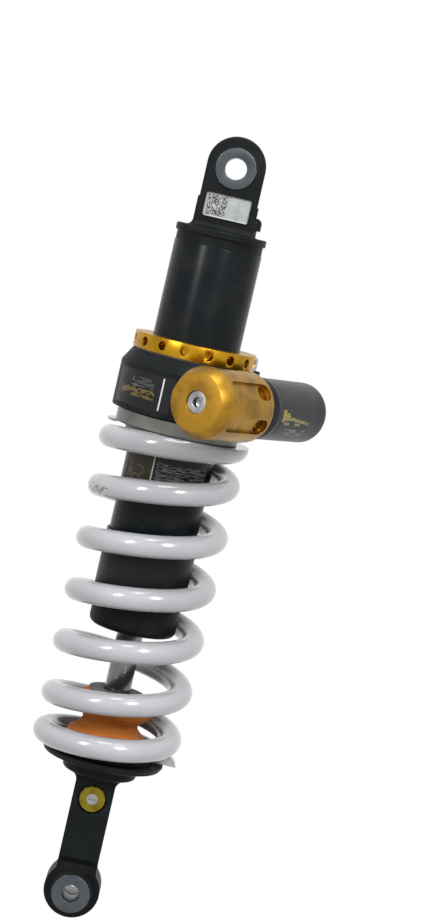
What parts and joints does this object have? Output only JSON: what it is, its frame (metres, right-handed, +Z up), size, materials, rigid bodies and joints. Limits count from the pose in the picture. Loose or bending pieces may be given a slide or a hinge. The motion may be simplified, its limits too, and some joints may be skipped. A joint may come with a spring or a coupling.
{
  "type": "rear shock absorber",
  "caption": "Motorcycle rear shock absorber: gas damper inside a coil spring, an eye at each end, hand-turned hydraulic preload knob and a rebound adjuster.",
  "frame": {"origin": "centre of the upper eye, on the shock's long axis", "axes": "+Z up along the damper towards the upper eye, +Y along both eyes' bores, +X to the side of the preload knob"},
  "size_m": [0.1228, 0.144, 0.456],
  "materials": {
    "black_coat": "satin black coating over aluminium",
    "black_tube": "smooth satin black coating",
    "black_plastic": "matt black plastic",
    "gold_anodised": "gold anodised, bright turned",
    "dark_anodised": "dark grey anodised, satin",
    "bare_aluminium": "turned aluminium",
    "steel": "ground steel",
    "screw_steel": "bright zinc-plated steel",
    "chrome_rod": "hard chrome, polished",
    "spring_white": "glossy white powder coat",
    "bump_orange": "cellular polyurethane, orange",
    "seal_rubber": "black nitrile rubber",
    "bearing_bronze": "bronze-backed lined bush",
    "nylon": "dark nylon",
    "valve_brass": "turned brass"
  },
  "bodies": {
    "damper_body": {"top_mount": "black_coat", "upper_bush": "bearing_bronze", "upper_eye_seals": "seal_rubber", "gas_valve": "valve_brass", "gas_valve_cap": "black_coat", "cap_seal": "seal_rubber", "damper_tube": "black_tube", "spring_guide_sleeve": "black_plastic", "lower_end_cap": "black_coat", "seal_head": "bare_aluminium", "rod_seal": "seal_rubber", "seal_head_ring": "seal_rubber", "rod_wiper": "seal_rubber", "top_out_bumper": "seal_rubber"},
    "upper_sleeve_body": {"upper_sleeve": "steel"},
    "floating_piston_body": {"floating_piston": "bare_aluminium", "floating_piston_seal": "seal_rubber"},
    "preload_unit": {"thrust_washer": "nylon", "preload_housing": "black_coat", "bleed_screw": "screw_steel", "pump_cylinder": "dark_anodised", "pump_seal_ring": "seal_rubber"},
    "preload_ring_body": {"preload_ring": "gold_anodised"},
    "seat_collar_body": {"spring_seat_collar": "bare_aluminium", "seat_piston_seals": "seal_rubber", "coil_spring": "spring_white"},
    "knob_body": {"preload_knob": "gold_anodised", "knob_screw": "screw_steel", "lead_screw": "steel"},
    "pump_piston_body": {"pump_piston": "bare_aluminium", "pump_piston_seal": "seal_rubber"},
    "rod_assembly": {"piston_rod": "chrome_rod", "piston": "bare_aluminium", "piston_band": "nylon", "rebound_shims": "steel", "compression_shims": "steel", "piston_nut": "steel", "bump_stop": "bump_orange", "bump_washer": "nylon", "lower_spring_seat": "black_coat", "seat_backing_ring": "black_coat", "lower_mount": "black_coat", "lower_bush": "bearing_bronze", "lower_eye_seals": "seal_rubber"},
    "lower_sleeve_body": {"lower_sleeve": "steel"},
    "rebound_knob_body": {"rebound_knob": "gold_anodised", "rebound_screw": "screw_steel"},
    "rebound_needle_body": {"rebound_needle": "steel"}
  },
  "joints": [
    {"name": "upper_sleeve_turn", "type": "hinge", "parent": "damper_body", "child": "upper_sleeve_body", "pos_m": [0, 0, 0], "axis": [0, 1, 0], "continuous": true},
    {"name": "coarse_preload", "type": "slide", "parent": "damper_body", "child": "preload_unit", "axis": [0, 0, -1], "range_m": [0, 0.006]},
    {"name": "ring_turn", "type": "hinge", "parent": "preload_unit", "child": "preload_ring_body", "pos_m": [0, 0, -0.10405], "axis": [0, 0, -1], "range_deg": [0, 1440.5]},
    {"name": "fine_preload", "type": "slide", "parent": "preload_unit", "child": "seat_collar_body", "axis": [0, 0, -1], "range_m": [0, 0.01]},
    {"name": "knob_turn", "type": "hinge", "parent": "preload_unit", "child": "knob_body", "pos_m": [0.00745, -0.09309, -0.12515], "axis": [0.5299, 0.848, 0], "range_deg": [0, 4343.85]},
    {"name": "pump_piston_slide", "type": "slide", "parent": "preload_unit", "child": "pump_piston_body", "axis": [0.5299, 0.848, 0], "range_m": [0, 0.02415]},
    {"name": "damper_stroke", "type": "slide", "parent": "seat_collar_body", "child": "rod_assembly", "axis": [0, 0, 1], "range_m": [0, 0.05], "stiffness_N_per_m": 147000, "springref_m": -0.004, "deforming": ["coil_spring", "bump_stop", "bump_washer"]},
    {"name": "floating_piston_slide", "type": "slide", "parent": "damper_body", "child": "floating_piston_body", "axis": [0, 0, 1], "range_m": [0, 0.00534]},
    {"name": "lower_sleeve_turn", "type": "hinge", "parent": "rod_assembly", "child": "lower_sleeve_body", "pos_m": [0, 0, -0.422], "axis": [0, 1, 0], "continuous": true},
    {"name": "rebound_turn", "type": "hinge", "parent": "rod_assembly", "child": "rebound_knob_body", "pos_m": [0, -0.011, -0.3669], "axis": [0, 1, 0], "range_deg": [0, 720.5]},
    {"name": "rebound_needle_slide", "type": "slide", "parent": "rod_assembly", "child": "rebound_needle_body", "axis": [0, 0, 1], "range_m": [0, 0.002]}
  ],
  "couplings": [
    {"joint": "ring_turn", "follows": "coarse_preload", "rad_per_m": 4188.8},
    {"joint": "knob_turn", "follows": "fine_preload", "rad_per_m": 7580.6},
    {"joint": "pump_piston_slide", "follows": "fine_preload", "ratio": 2.413},
    {"joint": "floating_piston_slide", "follows": "damper_stroke", "ratio": 0.10633},
    {"joint": "rebound_turn", "follows": "rebound_needle_slide", "rad_per_m": 6283.2}
  ]
}
